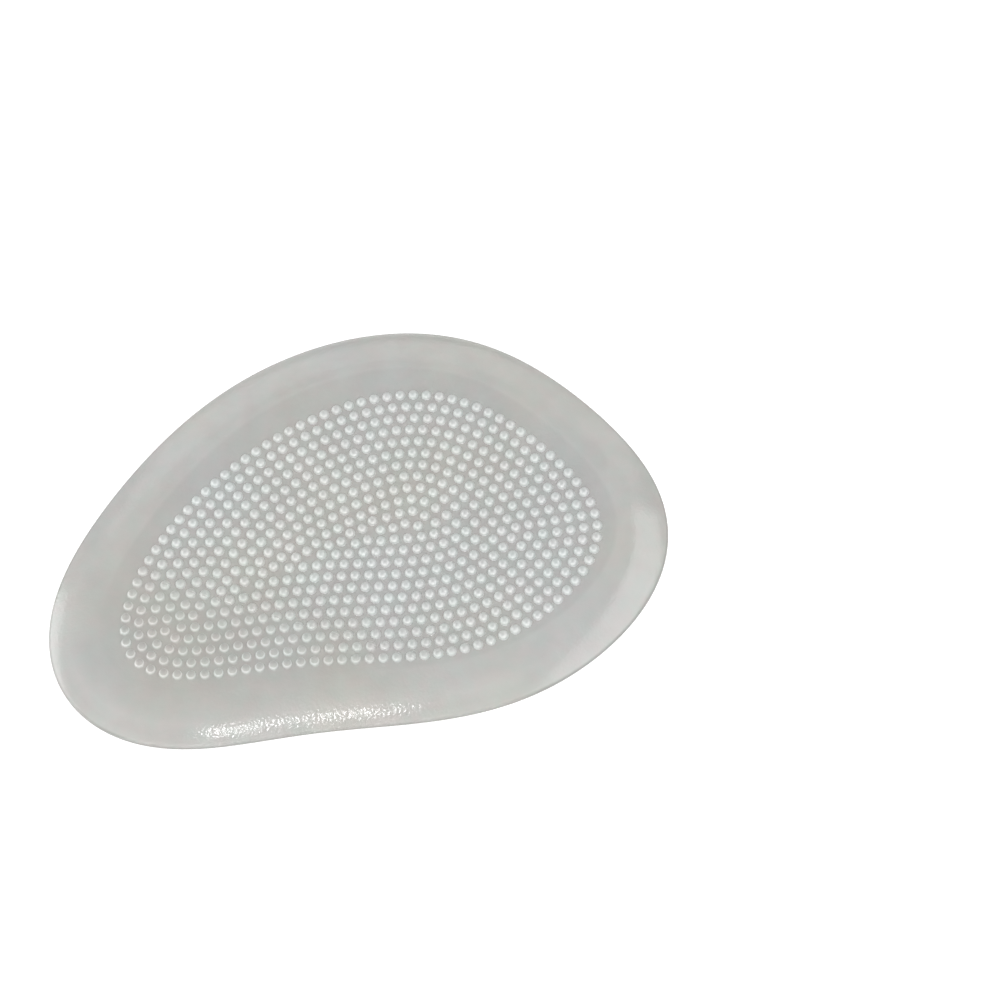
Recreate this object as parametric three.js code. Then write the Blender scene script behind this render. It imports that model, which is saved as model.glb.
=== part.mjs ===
// Gel metatarsal pad for under the ball of the foot, moulded in one piece.
// Its underside is flat. Its top swells from a thin edge to a flat field, which carries small round nubs.
// The nubs stand in rows that follow the pad's outline, each row one pitch inside the last.
// Millimetres, +Z up, +X along the pad, origin on the underside at the middle of the pad's box.
import * as THREE from "three";

// Overall sizes of the smooth gel
const PAD_LENGTH = 98;
const PAD_WIDTH = 69;
const PAD_THICKNESS = 3.2;
const EDGE_THICKNESS = 0.8;
const SWELL_RUN = 8.5; // from the outline inwards to where the top is flat
const FLAT_BORDER = 2.5; // typical width of the bare flat strip round the nubs

// Nubs
const NUB_PITCH = 2.1; // along a row, and typically from row to row
const NUB_DIAMETER = 1.7;
const NUB_HEIGHT = 0.8;
const NUB_CROWN = 0.6; // width of a nub's top facet, as a share of its foot
const NUB_GAP = 0.1; // between the corners of neighbours where rows meet
const CROWDING = 0.76; // how near nubs are first set there, as a share of their final spacing

// How finely curves are cut into facets
const OUTLINE_FACETS = 72;
const SWELL_FACETS = 5;
const NUB_CORNERS = 4;
const ROW_SAMPLES = 720;
const RUNS_PER_ROW = 4; // steps inwards from one row to the next, in the search for room along the seam
const PUSH_ROUNDS = 60;

// The outline from the +X end round by +Y, as shares of the length and the width from the middle.
// With it go the width of the bare flat strip there, as a share of its typical width,
// and the step from row to row there, as a share of the pitch
const OUTLINE = [
  { along: 0.5, across: -0.095, border: 0.8, step: 1 },
  { along: 0.435, across: 0.18, border: 1, step: 1 },
  { along: 0.3, across: 0.4, border: 1.3, step: 1 },
  { along: 0.105, across: 0.5, border: 1.6, step: 1 },
  { along: -0.1, across: 0.455, border: 1.7, step: 1 },
  { along: -0.28, across: 0.305, border: 1.3, step: 1 },
  { along: -0.425, across: 0.095, border: 1.05, step: 1 },
  { along: -0.5, across: -0.175, border: 1, step: 1 },
  { along: -0.395, across: -0.415, border: 0.65, step: 0.97 },
  { along: -0.19, across: -0.47, border: 0.6, step: 0.965 },
  { along: 0.015, across: -0.495, border: 0.25, step: 0.965 },
  { along: 0.225, across: -0.485, border: 0.2, step: 0.965 },
  { along: 0.41, across: -0.35, border: 0.5, step: 0.985 },
];

// Weight of one table row at a turn away from it, for the smooth closed curve through all rows
function rowWeight(turn) {
  const half = Math.PI * turn;
  const rows = OUTLINE.length;
  return Math.abs(Math.sin(half)) < 1e-9 ? 1 : Math.sin(rows * half) / (rows * Math.sin(half));
}

// A column of the table at a turn from 0 to 1 round the pad
function columnAt(column, turn) {
  return OUTLINE.reduce((sum, row, i) => sum + row[column] * rowWeight(turn - i / OUTLINE.length), 0);
}

// Points round the pad, each with its inward direction, how far inwards the outermost row of nubs runs,
// and the step from row to row
function sampleOutline(count) {
  const turns = Array.from({ length: count }, (_, i) => i / count);
  const shares = turns.map((turn) => [columnAt("along", turn), columnAt("across", turn)]);
  const box = new THREE.Box2().setFromPoints(shares.map(([x, y]) => new THREE.Vector2(x, y)));
  const middle = box.getCenter(new THREE.Vector2());
  const extent = box.getSize(new THREE.Vector2());
  const points = shares.map(([x, y]) => new THREE.Vector2(
    ((x - middle.x) / extent.x) * PAD_LENGTH,
    ((y - middle.y) / extent.y) * PAD_WIDTH,
  ));
  return points.map((point, i) => {
    const ahead = points[(i + 1) % count];
    const behind = points[(i + count - 1) % count];
    const inward = new THREE.Vector2(behind.y - ahead.y, ahead.x - behind.x).normalize();
    const margin = SWELL_RUN + FLAT_BORDER * columnAt("border", turns[i]) + NUB_DIAMETER / 2;
    return { point, inward, margin, step: NUB_PITCH * columnAt("step", turns[i]) };
  });
}

// The outline moved inwards, by one distance or by a function of the sample
function inset(samples, distance) {
  return samples.map((s) => s.point.clone().addScaledVector(s.inward, distance(s)));
}

// Middles of one row of nubs, evenly spaced along a closed run of points
function spaceRow(run) {
  const closed = [...run, run[0]];
  const reach = [0];
  closed.slice(1).forEach((point, i) => reach.push(reach[i] + point.distanceTo(closed[i])));
  const total = reach[run.length];
  const count = Math.max(1, Math.round(total / NUB_PITCH));
  const nubs = [];
  for (let n = 0; n < count; n++) {
    const along = (n * total) / count;
    const i = reach.findIndex((r) => r > along) - 1;
    const share = (along - reach[i]) / (reach[i + 1] - reach[i]);
    nubs.push({
      middle: closed[i].clone().lerp(closed[i + 1], share),
      heading: closed[i + 1].clone().sub(closed[i]).angle(),
    });
  }
  return nubs;
}

// Nested runs of points from the edge of the nubs' field to its middle.
// A run keeps to the points that lie as many rows inwards from every side.
function nestedRuns() {
  const samples = sampleOutline(ROW_SAMPLES);
  const fieldEdge = inset(samples, (s) => s.margin);
  const tolerance = 0.1; // as a share of a row
  const runs = [];
  for (let rows = 0; ; rows += 1 / RUNS_PER_ROW) {
    const isInside = (point) => fieldEdge.every((edge, i) => (
      point.distanceTo(edge) > (rows - tolerance) * samples[i].step
    ));
    const run = inset(samples, (s) => s.margin + rows * s.step).filter(isInside);
    if (run.length < 2) return runs;
    runs.push(run);
  }
}

// Reach of the corners of a nub's level polygon, which is as long round as a circle of the given radius
function cornerReach(radius) {
  const halfStep = Math.PI / NUB_CORNERS;
  return (radius * halfStep) / Math.sin(halfStep);
}

function nubCorners(nub, radius, firstStep) {
  const step = (2 * Math.PI) / NUB_CORNERS;
  const reach = cornerReach(radius);
  return Array.from({ length: NUB_CORNERS }, (_, i) => {
    const angle = nub.heading + step * (i + firstStep);
    return new THREE.Vector2(Math.cos(angle), Math.sin(angle)).multiplyScalar(reach).add(nub.middle);
  });
}

// Moves crowded nubs apart, each pair by equal shares, until neighbours have their spacing
function pushApart(nubs, spacing) {
  for (let round = 0; round < PUSH_ROUNDS; round++) {
    nubs.forEach((nub, n) => nubs.slice(0, n).forEach((other) => {
      const between = nub.middle.clone().sub(other.middle);
      const push = (spacing - between.length()) / 2;
      if (push > 0) {
        between.setLength(push);
        nub.middle.add(between);
        other.middle.sub(between);
      }
    }));
  }
}

// All nubs: first whole rows, then single nubs in the room that is left along the seam
// where rows from opposite sides meet. What finds no room on the flat top is left out.
function placeNubs() {
  const reach = cornerReach(NUB_DIAMETER / 2);
  const spacing = 2 * reach + NUB_GAP;
  const isClear = (nub, points, distance) => points.every((point) => nub.middle.distanceTo(point) > distance);
  const middles = (nubs) => nubs.map((nub) => nub.middle);

  const runs = nestedRuns();
  const placed = [];
  const place = (nub) => {
    if (isClear(nub, middles(placed), CROWDING * spacing)) placed.push(nub);
  };
  runs.filter((_, i) => i % RUNS_PER_ROW === 0).flatMap(spaceRow).forEach(place);
  for (const run of runs) {
    run.slice(1).forEach((point, i) => {
      place({ middle: point.clone(), heading: point.clone().sub(run[i]).angle() });
    });
  }
  pushApart(placed, spacing);

  const outline = sampleOutline(ROW_SAMPLES).map((s) => s.point);
  const nubs = [];
  for (const nub of placed) {
    const isOnFlat = isClear(nub, outline, SWELL_RUN + reach);
    if (isOnFlat && isClear(nub, middles(nubs), spacing - NUB_GAP / 2)) nubs.push(nub);
  }
  return nubs;
}

// The whole moulding as one closed skin
function gelPadGeometry() {
  const samples = sampleOutline(OUTLINE_FACETS);
  const positions = [];
  const faces = [];
  const addLevel = (points, height) => points.map((p) => positions.push(p.x, p.y, height) / 3 - 1);
  const stitch = (lower, upper) => lower.forEach((a, i) => {
    const next = (i + 1) % lower.length;
    faces.push(a, lower[next], upper[next], a, upper[next], upper[i]);
  });

  // Rounded edge from the underside up, then the swell of the top
  const edgeRadius = EDGE_THICKNESS / 2;
  const levels = [
    [edgeRadius, 0],
    [0, edgeRadius],
    [edgeRadius, EDGE_THICKNESS],
  ];
  for (let i = 1; i <= SWELL_FACETS; i++) {
    const share = i / SWELL_FACETS;
    levels.push([
      edgeRadius + (SWELL_RUN - edgeRadius) * share,
      PAD_THICKNESS - (PAD_THICKNESS - EDGE_THICKNESS) * (1 - share) ** 2,
    ]);
  }
  const rings = levels.map(([distance, height]) => addLevel(inset(samples, () => distance), height));
  rings.slice(1).forEach((ring, i) => stitch(rings[i], ring));

  // Flat underside and flat top, which is pierced where the nubs stand
  const nubs = placeNubs();
  const feet = nubs.map((nub) => nubCorners(nub, NUB_DIAMETER / 2, 0.5));
  const footIndices = feet.map((foot) => addLevel(foot, PAD_THICKNESS));
  const flat = (ring, rims, rimIndices, up) => {
    const contour = ring.map((i) => new THREE.Vector2(positions[3 * i], positions[3 * i + 1]));
    const indices = [...ring, ...rimIndices.flat()];
    for (const [a, b, c] of THREE.ShapeUtils.triangulateShape(contour, rims)) {
      faces.push(...(up ? [indices[a], indices[b], indices[c]] : [indices[a], indices[c], indices[b]]));
    }
  };
  flat(rings[0], [], [], false);
  flat(rings[rings.length - 1], feet, footIndices, true);

  // Each nub narrows from its foot to a crown facet, which is turned by half a corner
  nubs.forEach((nub, n) => {
    const foot = footIndices[n];
    const crown = addLevel(nubCorners(nub, (NUB_CROWN * NUB_DIAMETER) / 2, 1), PAD_THICKNESS + NUB_HEIGHT);
    crown.forEach((tip, i) => {
      const next = (i + 1) % NUB_CORNERS;
      faces.push(foot[i], foot[next], tip, foot[next], crown[next], tip);
      if (i > 1) faces.push(crown[0], crown[i - 1], tip);
    });
  });

  const geometry = new THREE.BufferGeometry();
  geometry.setAttribute("position", new THREE.Float32BufferAttribute(positions, 3));
  geometry.setIndex(faces);
  geometry.computeVertexNormals();
  return geometry;
}

function gelPad() {
  const gel = new THREE.MeshStandardMaterial({ color: 0xb9b8b5, roughness: 0.25, metalness: 0 });
  const mesh = new THREE.Mesh(gelPadGeometry(), gel);
  mesh.name = "gel_pad";
  return mesh;
}

const metatarsalPad = new THREE.Group();
metatarsalPad.add(gelPad());
export default metatarsalPad;
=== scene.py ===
import math

import bmesh
import bpy
import numpy as np
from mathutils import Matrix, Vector
from mathutils.geometry import delaunay_2d_cdt


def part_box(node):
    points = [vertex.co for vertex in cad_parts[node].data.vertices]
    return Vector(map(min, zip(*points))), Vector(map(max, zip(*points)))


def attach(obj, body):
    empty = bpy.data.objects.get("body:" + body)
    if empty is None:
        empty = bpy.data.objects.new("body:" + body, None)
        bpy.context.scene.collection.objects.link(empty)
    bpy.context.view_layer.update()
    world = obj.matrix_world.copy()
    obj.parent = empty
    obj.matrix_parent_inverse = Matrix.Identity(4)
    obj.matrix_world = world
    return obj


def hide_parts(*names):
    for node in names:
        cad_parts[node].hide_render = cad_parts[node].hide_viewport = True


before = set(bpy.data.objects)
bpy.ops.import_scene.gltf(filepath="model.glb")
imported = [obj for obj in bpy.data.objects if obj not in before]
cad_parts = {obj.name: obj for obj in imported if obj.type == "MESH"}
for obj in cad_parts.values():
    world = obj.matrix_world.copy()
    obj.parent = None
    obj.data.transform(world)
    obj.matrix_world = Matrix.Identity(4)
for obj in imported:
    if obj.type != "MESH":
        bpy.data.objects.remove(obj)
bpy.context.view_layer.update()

# Clear silicone gel metatarsal pad, moulded in one piece: a smooth pad with a swelling margin,
# a flat underside and a field of small round nubs. Metres, +Z up, +X along the pad.

MM = 0.001

# Sizes of the moulding
NUB_DIAMETER = 1.7 * MM
NUB_HEIGHT = 0.8 * MM
NUB_FOOT_SHARE = 1.1  # reach of the blend at a nub's foot, as a share of the nub's radius
EDGE_THICKNESS = 0.8 * MM
RIM_SWEEP = math.radians(150)  # there the rim's arc runs straight on into the swell
SWELL_RUN = 8.5 * MM  # from the outline inwards to where the top is flat

# How finely curves are cut into facets
OUTLINE_REFINEMENT = 4  # facets of the skin for each facet of the CAD outline
RIM_STEPS = 7
SWELL_STEPS = 16
NUB_SEGMENTS = 12
NUB_RINGS = 10

# Distances under which points are taken as one
SAME_LEVEL = 0.01 * MM
SAME_CROWN_CORNER = 0.001 * MM
WELD_DISTANCE = 0.002 * MM

# Photographic set. Angles are in degrees, and azimuth 0 looks along +Y.
CAMERA_AIM = (24.1 * MM, 0.8 * MM, 0)
CAMERA_DISTANCE = 480 * MM
CAMERA_AZIMUTH = -12
CAMERA_ELEVATION = 62
SENSOR_WIDTH = 36  # lens and sensor are in millimetres
FRAME_WIDTH = 157.6 * MM  # what the frame spans at the aim
FLOOR_SIZE = 6
FLOOR_DROP = 0.05 * MM  # keeps the floor clear of the flat underside

# Soft lamps round the pad: name, azimuth, elevation, width and height in metres, power in watts
LAMP_DISTANCE = 0.7
LAMPS = [
    ("front", -12, 30, 1.0, 0.35, 5.1),
    ("back", 168, 25, 1.0, 0.4, 1.5),
    ("left", -102, 15, 0.9, 0.35, 4.5),
    ("right", 78, 45, 0.9, 0.35, 3.2),
    ("key", -12, 62, 0.04, 0.09, 0.34),  # small, for the flecks of gloss on the margin
]
ROOM_STRENGTH = 0.52

# Sockets of a Mix node that mixes colours
FACTOR, COLOUR_A, COLOUR_B = 0, 6, 7
MIXED_COLOUR = 2


def colour(hex_code):
    """Linear RGBA of an sRGB hex colour."""
    channels = [int(hex_code[i:i + 2], 16) / 255 for i in (0, 2, 4)]
    return [c / 12.92 if c <= 0.04045 else ((c + 0.055) / 1.055) ** 2.4 for c in channels] + [1]


def add(tree, kind, inputs=None, **settings):
    """A new node with its settings, and with each input set to a value or linked to a socket."""
    node = tree.nodes.new(kind)
    for name, value in settings.items():
        setattr(node, name, value)
    for name, value in (inputs or {}).items():
        if isinstance(value, bpy.types.NodeSocket):
            tree.links.new(value, node.inputs[name])
        else:
            node.inputs[name].default_value = value
    return node


def new_material(name):
    material = bpy.data.materials.new(name)
    material.use_nodes = True
    material.node_tree.nodes.clear()
    return material, material.node_tree


# Materials

# Tones of the gel by height above the underside in millimetres. The gel's grey is its own, and the changes
# with height are painted light and shade. The thin edge is grey, darkest just above the ground as a painted
# shadow, and the margin is paler close to it as painted light. On the clear side painted shade darkens the
# margin again towards the nubs, and a thin dark line of painted shade runs round the foot of each nub. Clear
# nubs have a pale ring below the top, a painted rim highlight, and frosted nubs are paler on their sides,
# painted light.
PAD_HEIGHT = 4
EDGE_TONES_WITH_PAINTED_SHADE = [(0, "9A9A97"), (0.04, "868683"), (0.4, "9C9C99"), (0.72, "A2A29F")]
CLEAR_TONES_WITH_PAINTED_LIGHT = EDGE_TONES_WITH_PAINTED_SHADE + [
    (0.88, "BCBCB9"), (1.5, "B8B8B5"), (2.2, "BBBBB8"), (2.9, "B4B4B1"), (3.2, "B3B3B0"),
    (3.21, "AEAEAB"), (3.29, "B0B0AD"), (3.42, "B6B8B6"),
    (3.56, "CCCECC"), (3.74, "D6D8D6"), (3.82, "B4B5B2"), (4, "B0B1AE"),
]
FROSTED_TONES_WITH_PAINTED_LIGHT = EDGE_TONES_WITH_PAINTED_SHADE + [
    (0.88, "BABAB7"), (1.5, "B9B9B6"), (2.2, "BABAB7"), (3.2, "BABAB7"),
    (3.21, "A0A09E"), (3.25, "A0A09E"), (3.32, "BFC3C0"), (3.6, "C3C7C4"), (4, "BDC0BE"),
]

# Uneven tints of the cast gel: their size in millimetres and the two tints they drift between
GEL_TINTS = [
    (22, "FFFEFB", "FCFDFF"),  # warm and cool parts of the pad
    (5, "F9F9F9", "FFFFFF"),  # cloudiness
    (2.6, "FFFBFC", "FAFEFD"),  # from one nub to the next
]
TINT_SPREAD = (0.35, 0.65)  # the noise keeps mostly between these, so the tints reach both ends

# The nubs are clear where both X and Y are least, and frosted over the rest. The frost sets in between two
# distances from the pad's middle, taken along a level direction.
FROST_DIRECTION = (0.5, 0.87, 0)
FROST_START = -25 * MM
FROST_END = -12 * MM

# Gloss. The foot of a nub is where the smooth gel's gloss gives way to the nub's.
NUB_FOOT_LOW = 3.22 * MM
NUB_FOOT_HIGH = 3.3 * MM
SMOOTH_ROUGHNESS = 0.12
FROSTED_ROUGHNESS = 0.45
PEEL_SIZE = 0.5 * MM
PEEL_DEPTH = 0.03 * MM


def gel_tone_with_painted_light(tree, place, height, frosted):
    """The gel's tone at its height, clear or frosted, with the painted light and shade of the height tones and
    the uneven tints over it.
    """
    level = add(tree, "ShaderNodeMapRange", {"Value": height, "From Max": PAD_HEIGHT * MM}).outputs[0]
    painted_tones = []
    for stops in (CLEAR_TONES_WITH_PAINTED_LIGHT, FROSTED_TONES_WITH_PAINTED_LIGHT):
        ramp = add(tree, "ShaderNodeValToRGB", {"Fac": level})
        while len(ramp.color_ramp.elements) < len(stops):
            ramp.color_ramp.elements.new(1)
        for element, (millimetres, tone) in zip(ramp.color_ramp.elements, stops):
            element.position = millimetres / PAD_HEIGHT
            element.color = colour(tone)
        painted_tones.append(ramp.outputs[0])
    shade = add(tree, "ShaderNodeMix", {
        FACTOR: frosted, COLOUR_A: painted_tones[0], COLOUR_B: painted_tones[1],
    }, data_type="RGBA").outputs[MIXED_COLOUR]

    low, high = TINT_SPREAD
    for size, first, second in GEL_TINTS:
        drift = add(tree, "ShaderNodeTexNoise", {
            "Vector": place, "Scale": 1 / (size * MM), "Detail": 2,
        }).outputs[0]
        share = add(tree, "ShaderNodeMapRange", {
            "Value": drift, "From Min": low, "From Max": high,
        }).outputs[0]
        tint = add(tree, "ShaderNodeMix", {
            FACTOR: share, COLOUR_A: colour(first), COLOUR_B: colour(second),
        }, data_type="RGBA").outputs[MIXED_COLOUR]
        shade = add(tree, "ShaderNodeMix", {
            FACTOR: 1, COLOUR_A: shade, COLOUR_B: tint,
        }, data_type="RGBA", blend_type="MULTIPLY").outputs[MIXED_COLOUR]
    return shade


def clear_silicone_gel():
    """Cast silicone gel: clear, soft and a little cloudy, with pale nubs that catch the light.
    Its colour carries painted light and shade by height.
    """
    material, tree = new_material("clear_silicone_gel")
    place = add(tree, "ShaderNodeTexCoord").outputs["Object"]
    height = add(tree, "ShaderNodeSeparateXYZ", {0: place}).outputs["Z"]
    along = add(tree, "ShaderNodeVectorMath", {0: place, 1: FROST_DIRECTION}, operation="DOT_PRODUCT")
    frosted = add(tree, "ShaderNodeMapRange", {
        "Value": along.outputs["Value"], "From Min": FROST_START, "From Max": FROST_END,
    }).outputs[0]

    # Frosted nubs spread their gloss
    nub = add(tree, "ShaderNodeMapRange", {
        "Value": height, "From Min": NUB_FOOT_LOW, "From Max": NUB_FOOT_HIGH,
    }).outputs[0]
    frost = add(tree, "ShaderNodeMath", {0: nub, 1: frosted}, operation="MULTIPLY").outputs[0]
    roughness = add(tree, "ShaderNodeMapRange", {
        "Value": frost, "To Min": SMOOTH_ROUGHNESS, "To Max": FROSTED_ROUGHNESS,
    }).outputs[0]

    # A faint orange peel on the smooth gel breaks its gloss into flecks
    smooth = add(tree, "ShaderNodeMath", {0: 1, 1: nub}, operation="SUBTRACT").outputs[0]
    peel = add(tree, "ShaderNodeTexNoise", {"Vector": place, "Scale": 1 / PEEL_SIZE, "Detail": 1}).outputs[0]
    bump = add(tree, "ShaderNodeBump", {"Height": peel, "Strength": smooth, "Distance": PEEL_DEPTH})

    gel = add(tree, "ShaderNodeBsdfPrincipled", {
        # The base colour holds painted light and shade by height, over the gel's own grey and tints
        "Base Color": gel_tone_with_painted_light(tree, place, height, frosted),
        "Roughness": roughness,
        "IOR": 1.41,
        "Transmission Weight": 0.5,
        # The coat is the broad, bright highlight of the frosted nubs
        "Coat Weight": frost,
        "Coat Roughness": 0.42,
        "Coat IOR": 2,
        "Normal": bump.outputs[0],
    })

    # Light that the gel lets through to the ground under it
    clear = add(tree, "ShaderNodeBsdfTransparent", {"Color": colour("E8E8E8")})
    path = add(tree, "ShaderNodeLightPath")
    surface = add(tree, "ShaderNodeMixShader", {
        FACTOR: path.outputs["Is Shadow Ray"], 1: gel.outputs[0], 2: clear.outputs[0],
    })
    add(tree, "ShaderNodeOutputMaterial", {"Surface": surface.outputs[0]})
    return material


def matt_paper():
    """Matt white paper: a pale, even ground."""
    material, tree = new_material("matt_white_paper")
    paper = add(tree, "ShaderNodeBsdfPrincipled", {
        "Base Color": colour("F7F7F7"),
        "Roughness": 0.9,
        "Specular IOR Level": 0.1,
    })
    add(tree, "ShaderNodeOutputMaterial", {"Surface": paper.outputs[0]})
    return material


# The gel pad


def cad_outline(node):
    """The outline as complex numbers, once round from the +X end by +Y, with the inward direction at each."""
    widest = [v.co for v in node.data.vertices if abs(v.co.z - EDGE_THICKNESS / 2) < SAME_LEVEL]
    ring = {(round(place.x, 7), round(place.y, 7)) for place in widest}
    coarse = sorted((complex(x, y) for x, y in ring), key=lambda p: math.atan2(p.imag, p.real) % math.tau)
    # The CAD points lie on a smooth closed curve, so its harmonics give the points between them
    harmonics = np.fft.fft(coarse)
    order = np.fft.fftfreq(len(coarse), 1 / len(coarse))
    turns = np.arange(len(coarse) * OUTLINE_REFINEMENT) / (len(coarse) * OUTLINE_REFINEMENT)
    waves = np.exp(2j * np.pi * np.outer(turns, order)) / len(coarse)
    points = waves @ harmonics
    heading = waves @ (harmonics * 1j * order)
    return points, 1j * heading / np.abs(heading)


def cad_nub_middles(node, top):
    """Middles of the crown facets of the CAD nubs, in the plane."""
    crowns = bmesh.new()
    crowns.from_mesh(node.data)
    lower = [v for v in crowns.verts if v.co.z < top - SAME_LEVEL]
    bmesh.ops.delete(crowns, geom=lower, context="VERTS")
    bmesh.ops.remove_doubles(crowns, verts=crowns.verts, dist=SAME_CROWN_CORNER)
    bmesh.ops.dissolve_limit(crowns, angle_limit=0.01, verts=crowns.verts, edges=crowns.edges)
    middles = sorted(tuple(face.calc_center_median().xy) for face in crowns.faces)
    crowns.free()
    return middles


def section(thickness):
    """Distances inwards and heights along half a section, from the underside round the rim to the top."""
    radius = EDGE_THICKNESS / 2
    steps = []
    for i in range(RIM_STEPS + 1):
        turn = RIM_SWEEP * i / RIM_STEPS
        steps.append((radius * (1 - math.sin(turn)), radius * (1 - math.cos(turn))))
    start, height = steps[-1]
    for i in range(1, SWELL_STEPS + 1):
        share = i / SWELL_STEPS
        drop = (thickness - height) * (1 - share) ** 2
        steps.append((start + (SWELL_RUN - start) * share, thickness - drop))
    return steps


def flat_top(rim, feet):
    """Triangles between the rim and the nubs' feet, whose points are numbered along the rim, then by foot."""
    points, edges, owners = [], [], []
    for owner, loop in enumerate([rim, *feet]):
        first = len(points)
        edges += [(first + (i - 1) % len(loop), first + i) for i in range(len(loop))]
        owners += [owner] * len(loop)
        points += [Vector(point[:2]) for point in loop]
    rim_loop = list(range(len(rim)))
    only_inside = 1
    nearness = 1e-9  # points closer than this are taken as one
    _, _, triangles, origins, _, _ = delaunay_2d_cdt(points, edges, [rim_loop], only_inside, nearness)
    kept = []
    for triangle in triangles:
        corners = [origins[i][0] for i in triangle]
        held = {owners[i] for i in corners}
        # A triangle with all its corners on one foot lies under that nub
        if 0 in held or len(held) > 1:
            kept.append(corners)
    return kept


def pad_skin(node, thickness, middles):
    """The smooth skin as a mesh, open where nubs stand, with a loose vertex at each nub's middle."""
    points, inward = cad_outline(node)
    count = len(points)
    verts, faces = [], []
    for distance, height in section(thickness):
        ring = points + inward * distance
        verts += [(p.real, p.imag, height) for p in ring]
    for base in range(0, len(verts) - count, count):
        for i in range(count):
            j = (i + 1) % count
            faces.append((base + i, base + j, base + count + j, base + count + i))
    faces.append(tuple(reversed(range(count))))

    reach = NUB_DIAMETER / 2 * NUB_FOOT_SHARE
    angles = [math.tau * i / NUB_SEGMENTS for i in range(NUB_SEGMENTS)]
    feet = [
        [(x + reach * math.cos(angle), y + reach * math.sin(angle), thickness) for angle in angles]
        for x, y in middles
    ]
    rim = len(verts) - count
    faces += [tuple(rim + i for i in corners) for corners in flat_top(verts[rim:], feet)]
    verts += [corner for foot in feet for corner in foot]
    loose = len(verts)
    verts += [(x, y, thickness) for x, y in middles]

    mesh = bpy.data.meshes.new("gel_pad_skin")
    mesh.from_pydata(verts, [], faces)
    marks = mesh.attributes.new("nub_middle", "BOOLEAN", "POINT")
    marks.data.foreach_set("value", [i >= loose for i in range(len(verts))])
    mesh.validate()
    return mesh


def nub_tree():
    """Geometry nodes that set a round nub on every marked vertex and weld it to the skin."""
    tree = bpy.data.node_groups.new("moulded_nubs", "GeometryNodeTree")
    face = tree.interface
    face.new_socket("Geometry", in_out="INPUT", socket_type="NodeSocketGeometry")
    for name in ("Nub Diameter", "Nub Height", "Foot Share"):
        face.new_socket(name, in_out="INPUT", socket_type="NodeSocketFloat")
    face.new_socket("Segments", in_out="INPUT", socket_type="NodeSocketInt")
    face.new_socket("Rings", in_out="INPUT", socket_type="NodeSocketInt")
    face.new_socket("Gel", in_out="INPUT", socket_type="NodeSocketMaterial")
    face.new_socket("Geometry", in_out="OUTPUT", socket_type="NodeSocketGeometry")
    group = add(tree, "NodeGroupInput").outputs

    # A unit ball, whose lower part is cut off below the first ring under its middle
    ball = add(tree, "GeometryNodeMeshUVSphere", {
        "Segments": group["Segments"], "Rings": group["Rings"], "Radius": 1,
    })
    place = add(tree, "GeometryNodeInputPosition").outputs[0]
    height = add(tree, "ShaderNodeSeparateXYZ", {0: place}).outputs["Z"]
    cut = add(tree, "ShaderNodeMath", {0: math.pi * 1.5, 1: group["Rings"]}, operation="DIVIDE").outputs[0]
    cut = add(tree, "ShaderNodeMath", {0: cut}, operation="SINE").outputs[0]
    cut = add(tree, "ShaderNodeMath", {0: cut, 1: -1}, operation="MULTIPLY").outputs[0]
    below = add(tree, "FunctionNodeCompare", {0: height, 1: cut}, data_type="FLOAT", operation="LESS_THAN")
    dome = add(tree, "GeometryNodeDeleteGeometry", {
        "Geometry": ball.outputs["Mesh"], "Selection": below.outputs[0],
    })

    # That ring becomes the flat foot round the nub
    outwards = add(tree, "ShaderNodeVectorMath", {0: place, 1: (1, 1, 0)}, operation="MULTIPLY").outputs[0]
    outwards = add(tree, "ShaderNodeVectorMath", {0: outwards}, operation="NORMALIZE").outputs[0]
    foot = add(tree, "ShaderNodeVectorMath", {
        0: outwards, "Scale": group["Foot Share"],
    }, operation="SCALE").outputs[0]
    lowest = add(tree, "FunctionNodeCompare", {0: height, 1: -0.01}, data_type="FLOAT", operation="LESS_THAN")
    dome = add(tree, "GeometryNodeSetPosition", {
        "Geometry": dome.outputs[0], "Selection": lowest.outputs[0], "Position": foot,
    })
    radius = add(tree, "ShaderNodeMath", {0: group["Nub Diameter"], 1: 0.5}, operation="MULTIPLY").outputs[0]
    size = add(tree, "ShaderNodeCombineXYZ", {"X": radius, "Y": radius, "Z": group["Nub Height"]}).outputs[0]
    nub = add(tree, "GeometryNodeTransform", {"Geometry": dome.outputs[0], "Scale": size}).outputs[0]

    mark = add(tree, "GeometryNodeInputNamedAttribute", {"Name": "nub_middle"}, data_type="BOOLEAN")
    parts = add(tree, "GeometryNodeSeparateGeometry", {
        "Geometry": group["Geometry"], "Selection": mark.outputs[0],
    })
    nubs = add(tree, "GeometryNodeInstanceOnPoints", {"Points": parts.outputs["Selection"], "Instance": nub})
    nubs = add(tree, "GeometryNodeRealizeInstances", {"Geometry": nubs.outputs[0]})
    joined = add(tree, "GeometryNodeJoinGeometry")
    for piece in (nubs.outputs[0], parts.outputs["Inverted"]):
        tree.links.new(piece, joined.inputs[0])
    welded = add(tree, "GeometryNodeMergeByDistance", {
        "Geometry": joined.outputs[0], "Distance": WELD_DISTANCE,
    })
    smooth = add(tree, "GeometryNodeSetShadeSmooth", {"Geometry": welded.outputs[0]})
    coated = add(tree, "GeometryNodeSetMaterial", {"Geometry": smooth.outputs[0], "Material": group["Gel"]})
    add(tree, "NodeGroupOutput", {"Geometry": coated.outputs[0]})
    return tree


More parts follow.
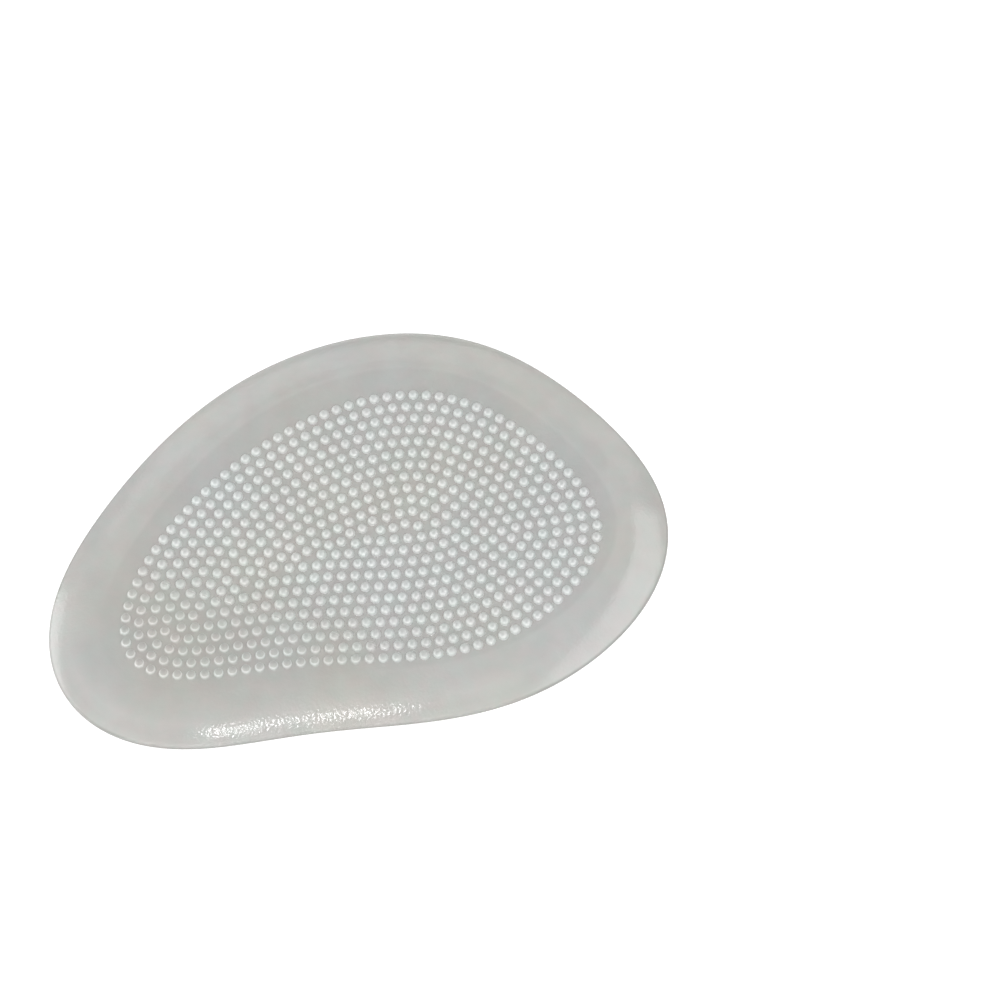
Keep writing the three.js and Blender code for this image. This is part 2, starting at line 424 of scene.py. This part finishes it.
def gel_pad(material):
    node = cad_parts["gel_pad"]
    low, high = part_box("gel_pad")
    thickness = high.z - low.z - NUB_HEIGHT
    skin = bpy.data.objects.new("gel_skin", pad_skin(node, thickness, cad_nub_middles(node, high.z)))
    bpy.context.scene.collection.objects.link(skin)
    tree = nub_tree()
    modifier = skin.modifiers.new("nubs", "NODES")
    modifier.node_group = tree
    inputs = {
        "Nub Diameter": NUB_DIAMETER,
        "Nub Height": NUB_HEIGHT,
        "Foot Share": NUB_FOOT_SHARE,
        "Segments": NUB_SEGMENTS,
        "Rings": NUB_RINGS,
        "Gel": material,
    }
    for socket in tree.interface.items_tree:
        if socket.in_out == "INPUT" and socket.name in inputs:
            modifier[socket.identifier] = inputs[socket.name]
    evaluated = skin.evaluated_get(bpy.context.evaluated_depsgraph_get())
    mesh = bpy.data.meshes.new_from_object(evaluated)
    bpy.data.objects.remove(skin)
    pad = bpy.data.objects.new("gel_moulding", mesh)
    bpy.context.scene.collection.objects.link(pad)
    return pad


# The set


def paper_floor(material):
    half = FLOOR_SIZE / 2
    mesh = bpy.data.meshes.new("paper_floor")
    corners = [(-half, -half), (half, -half), (half, half), (-half, half)]
    mesh.from_pydata([(x, y, -FLOOR_DROP) for x, y in corners], [], [(0, 1, 2, 3)])
    mesh.materials.append(material)
    floor = bpy.data.objects.new("paper_floor", mesh)
    bpy.context.scene.collection.objects.link(floor)
    return floor


def set_up(name, data, azimuth, elevation, distance, aim=(0, 0, 0)):
    """Puts a camera or lamp in the scene at a distance from the aim, facing it."""
    azimuth, elevation = math.radians(azimuth), math.radians(elevation)
    back = Vector((
        math.sin(azimuth) * math.cos(elevation),
        -math.cos(azimuth) * math.cos(elevation),
        math.sin(elevation),
    ))
    thing = bpy.data.objects.new(name, data)
    thing.location = Vector(aim) + back * distance
    thing.rotation_euler = (-back).to_track_quat("-Z", "Y").to_euler()
    bpy.context.scene.collection.objects.link(thing)
    return thing


def camera():
    data = bpy.data.cameras.new("camera")
    data.sensor_width = SENSOR_WIDTH
    data.lens = SENSOR_WIDTH * CAMERA_DISTANCE / FRAME_WIDTH
    data.clip_start = 10 * MM
    data.clip_end = 20
    bpy.context.scene.camera = set_up(
        "camera", data, CAMERA_AZIMUTH, CAMERA_ELEVATION, CAMERA_DISTANCE, CAMERA_AIM,
    )


def studio_light():
    world = bpy.data.worlds.new("studio")
    world.use_nodes = True
    background = world.node_tree.nodes["Background"]
    background.inputs["Color"].default_value = colour("FFFFFF")
    background.inputs["Strength"].default_value = ROOM_STRENGTH
    bpy.context.scene.world = world
    for name, azimuth, elevation, width, height, power in LAMPS:
        data = bpy.data.lights.new(name, "AREA")
        data.shape = "RECTANGLE"
        data.size = width
        data.size_y = height
        data.energy = power
        set_up(name, data, azimuth, elevation, LAMP_DISTANCE)


gel = clear_silicone_gel()
pad = gel_pad(gel)
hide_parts("gel_pad")
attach(pad, "root")
paper_floor(matt_paper())
camera()
studio_light()
bpy.context.scene.view_settings.view_transform = "Standard"
